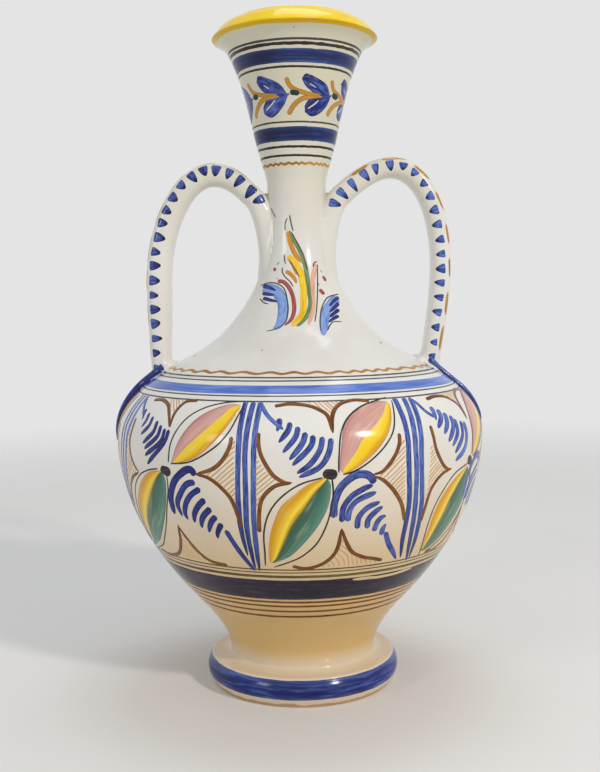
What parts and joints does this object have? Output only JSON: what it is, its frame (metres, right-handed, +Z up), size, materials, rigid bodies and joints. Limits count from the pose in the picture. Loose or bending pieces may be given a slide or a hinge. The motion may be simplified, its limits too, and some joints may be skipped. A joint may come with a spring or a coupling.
{
  "type": "two-handled vase",
  "caption": "Tall footed vase of painted tin-glazed earthenware with a round belly, slim neck, flared mouth and looped side handles.",
  "frame": {"origin": "middle of the flat base the foot ring stands on", "axes": "+Z up the vase, X through both handles, front towards -Y"},
  "size_m": [0.25, 0.25, 0.45],
  "materials": {
    "glaze_cream": "glossy cream tin glaze over fired earthenware, painted by brush",
    "glaze_cobalt": "glossy cobalt blue painted over the tin glaze",
    "glaze_yellow": "glossy lemon yellow painted over the tin glaze",
    "slip_clay": "fired clay slip in the joints, hidden under the glaze"
  },
  "bodies": {
    "root": {"foot_ring": "glaze_cobalt", "foot_ring_slip": "slip_clay", "foot_pedestal": "glaze_cream", "pedestal_slip": "slip_clay", "lower_bowl": "glaze_cream", "belly_slip": "slip_clay", "shoulder": "glaze_cream", "neck_slip": "slip_clay", "neck": "glaze_cream", "collar_slip": "slip_clay", "mouth_collar": "glaze_cream", "lip_slip": "slip_clay", "rim_lip": "glaze_yellow", "left_handle": "glaze_cream", "left_root_slip": "slip_clay", "left_foot_slip": "slip_clay", "right_handle": "glaze_cream", "right_root_slip": "slip_clay", "right_foot_slip": "slip_clay"}
  },
  "joints": []
}
